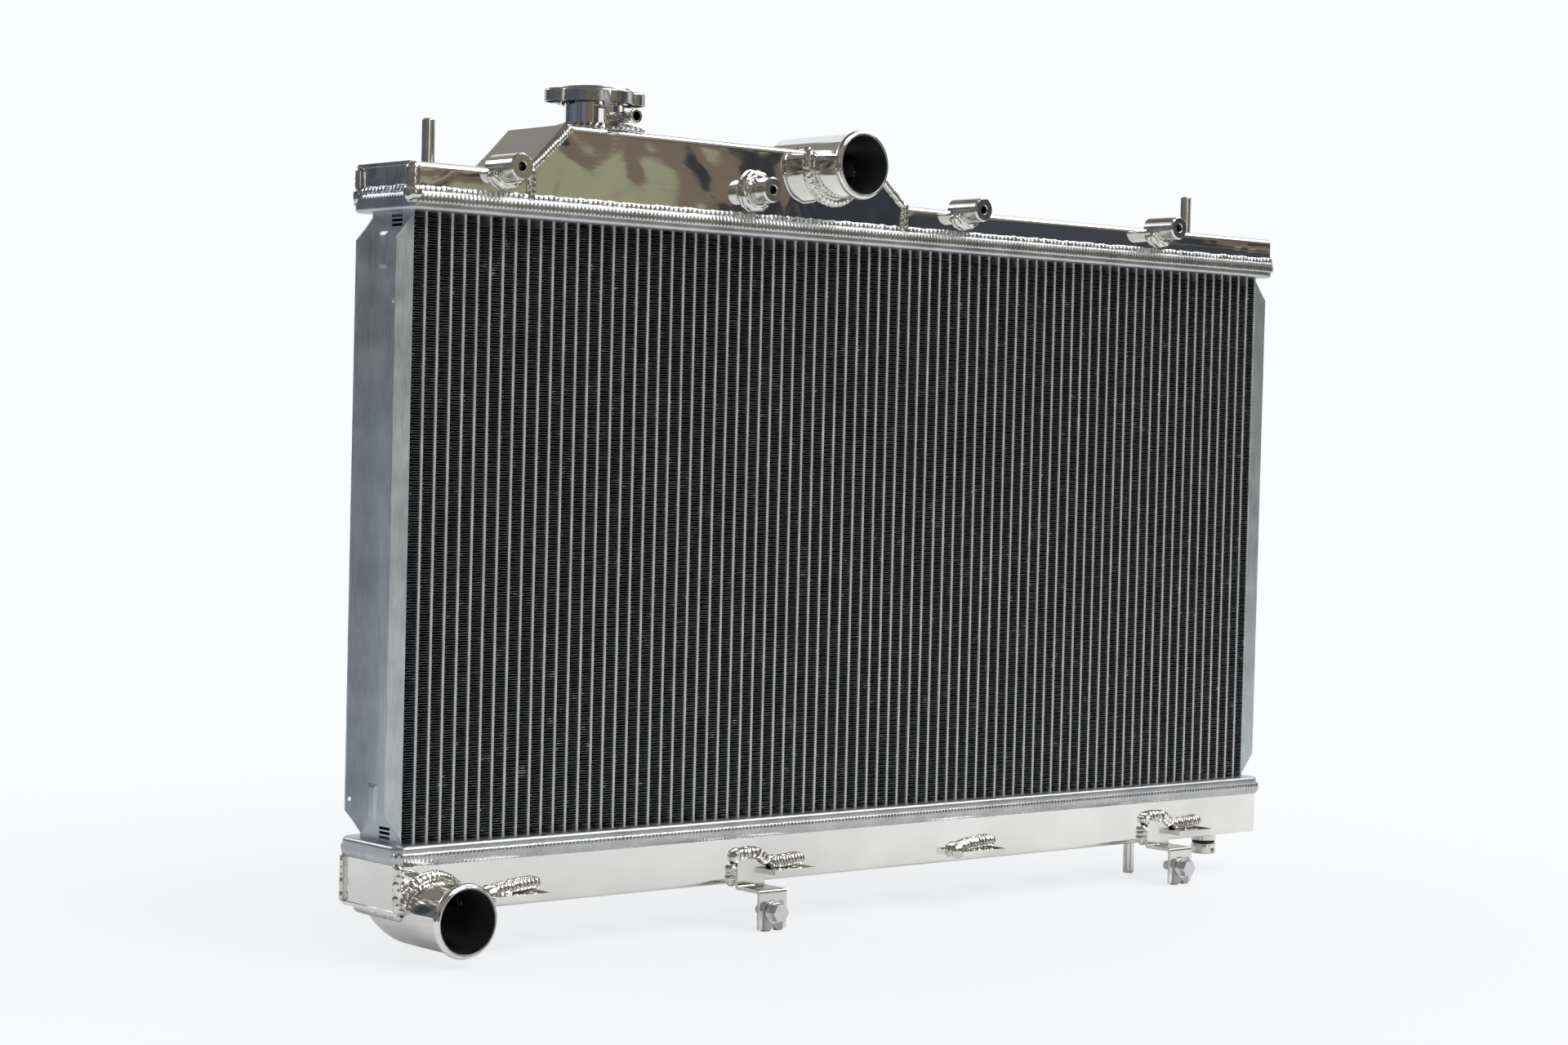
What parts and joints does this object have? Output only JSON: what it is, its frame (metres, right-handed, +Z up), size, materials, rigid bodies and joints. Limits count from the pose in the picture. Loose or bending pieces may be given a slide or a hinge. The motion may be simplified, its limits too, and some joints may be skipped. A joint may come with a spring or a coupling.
{
  "type": "car radiator",
  "caption": "All-aluminium down-flow car radiator with welded tanks, pressure cap, hose necks, overflow nipple, drain plug, locating pins, fan bosses and lower brackets.",
  "frame": {"origin": "midway between the two lower pins, on the underside of the bottom tank", "axes": "+X along the tanks to the right as seen from the side that the hose necks point to, +Y away from that side towards the back of the core, +Z up from the bottom tank to the filler cap"},
  "size_m": [0.7099, 0.092, 0.4861],
  "materials": {
    "core_tube": "brazed, dull",
    "core_fin": "thin folded strip, dark between the tubes",
    "side_plate": "satin rolled sheet",
    "satin_sheet": "satin",
    "weld": "rippled weld bead",
    "polished_sheet": "mirror polished",
    "polished_tube": "mirror polished",
    "turned_aluminium": "turned",
    "cap_steel": "plated, worn satin",
    "spring_steel": "bright drawn",
    "clip_steel": "dull plated",
    "zinc_steel": "zinc plated",
    "valve_brass": "pressed",
    "black_rubber": "matte",
    "seal_rubber": "matte"
  },
  "bodies": {
    "radiator": {"core_tubes": "core_tube", "core_fins": "core_fin", "side_plate_left": "side_plate", "side_plate_right": "side_plate", "header_bottom": "satin_sheet", "header_top": "satin_sheet", "seam_bead_bottom": "weld", "seam_bead_top": "weld", "bottom_tank": "polished_sheet", "bottom_end_cap_left": "polished_sheet", "bottom_end_cap_right": "polished_sheet", "top_tank_left": "polished_sheet", "top_tank_raised": "polished_sheet", "top_tank_right": "polished_sheet", "slope_plate_left": "polished_sheet", "slope_plate_right": "polished_sheet", "top_end_cap_left": "polished_sheet", "top_end_cap_right": "polished_sheet", "inlet_pipe": "polished_tube", "outlet_pipe": "polished_tube", "filler_neck": "polished_tube", "overflow_nipple": "turned_aluminium", "lower_pins": "turned_aluminium", "upper_pins": "turned_aluminium", "shroud_bosses": "turned_aluminium", "shroud_tabs": "satin_sheet", "lower_brackets": "satin_sheet", "clip_nuts": "clip_steel", "bracket_bolts": "zinc_steel", "drain_bung": "turned_aluminium"},
    "cap_carrier": {"cap_rivet": "cap_steel", "cap_spring_bell": "cap_steel", "cap_gasket": "black_rubber", "pressure_spring": "spring_steel"},
    "cap_shell": {"cap_shell": "cap_steel"},
    "pressure_valve": {"pressure_valve": "valve_brass", "pressure_seal": "black_rubber", "vacuum_spring": "spring_steel"},
    "vacuum_valve": {"vacuum_valve": "valve_brass"},
    "drain_seal": {"drain_o_ring": "seal_rubber"},
    "drain_plug": {"drain_plug": "turned_aluminium"}
  },
  "joints": [
    {"name": "cap_rise", "type": "slide", "parent": "radiator", "child": "cap_carrier", "axis": [0, 0, 1], "range_m": [0, 0.001]},
    {"name": "cap_turn", "type": "hinge", "parent": "cap_carrier", "child": "cap_shell", "pos_m": [-0.1948, 0, 0.4568], "axis": [0, 0, 1], "range_deg": [0, 60]},
    {"name": "pressure_valve_lift", "type": "slide", "parent": "cap_carrier", "child": "pressure_valve", "axis": [0, 0, 1], "range_m": [0, 0.003], "stiffness_N_per_m": 300, "springref_m": -0.002, "deforming": ["pressure_spring"]},
    {"name": "vacuum_valve_drop", "type": "slide", "parent": "pressure_valve", "child": "vacuum_valve", "axis": [0, 0, -1], "range_m": [0, 0.0015], "stiffness_N_per_m": 40, "springref_m": -0.001, "deforming": ["vacuum_spring"]},
    {"name": "drain_out", "type": "slide", "parent": "radiator", "child": "drain_seal", "axis": [0, 0, -1], "range_m": [0, 0.006]},
    {"name": "drain_turn", "type": "hinge", "parent": "drain_seal", "child": "drain_plug", "pos_m": [0.3442, 0, -0.009], "axis": [0, 0, -1], "range_deg": [0, 1440]}
  ],
  "couplings": [
    {"joint": "cap_turn", "follows": "cap_rise", "rad_per_m": 1047.2},
    {"joint": "drain_turn", "follows": "drain_out", "rad_per_m": 4188.8}
  ]
}
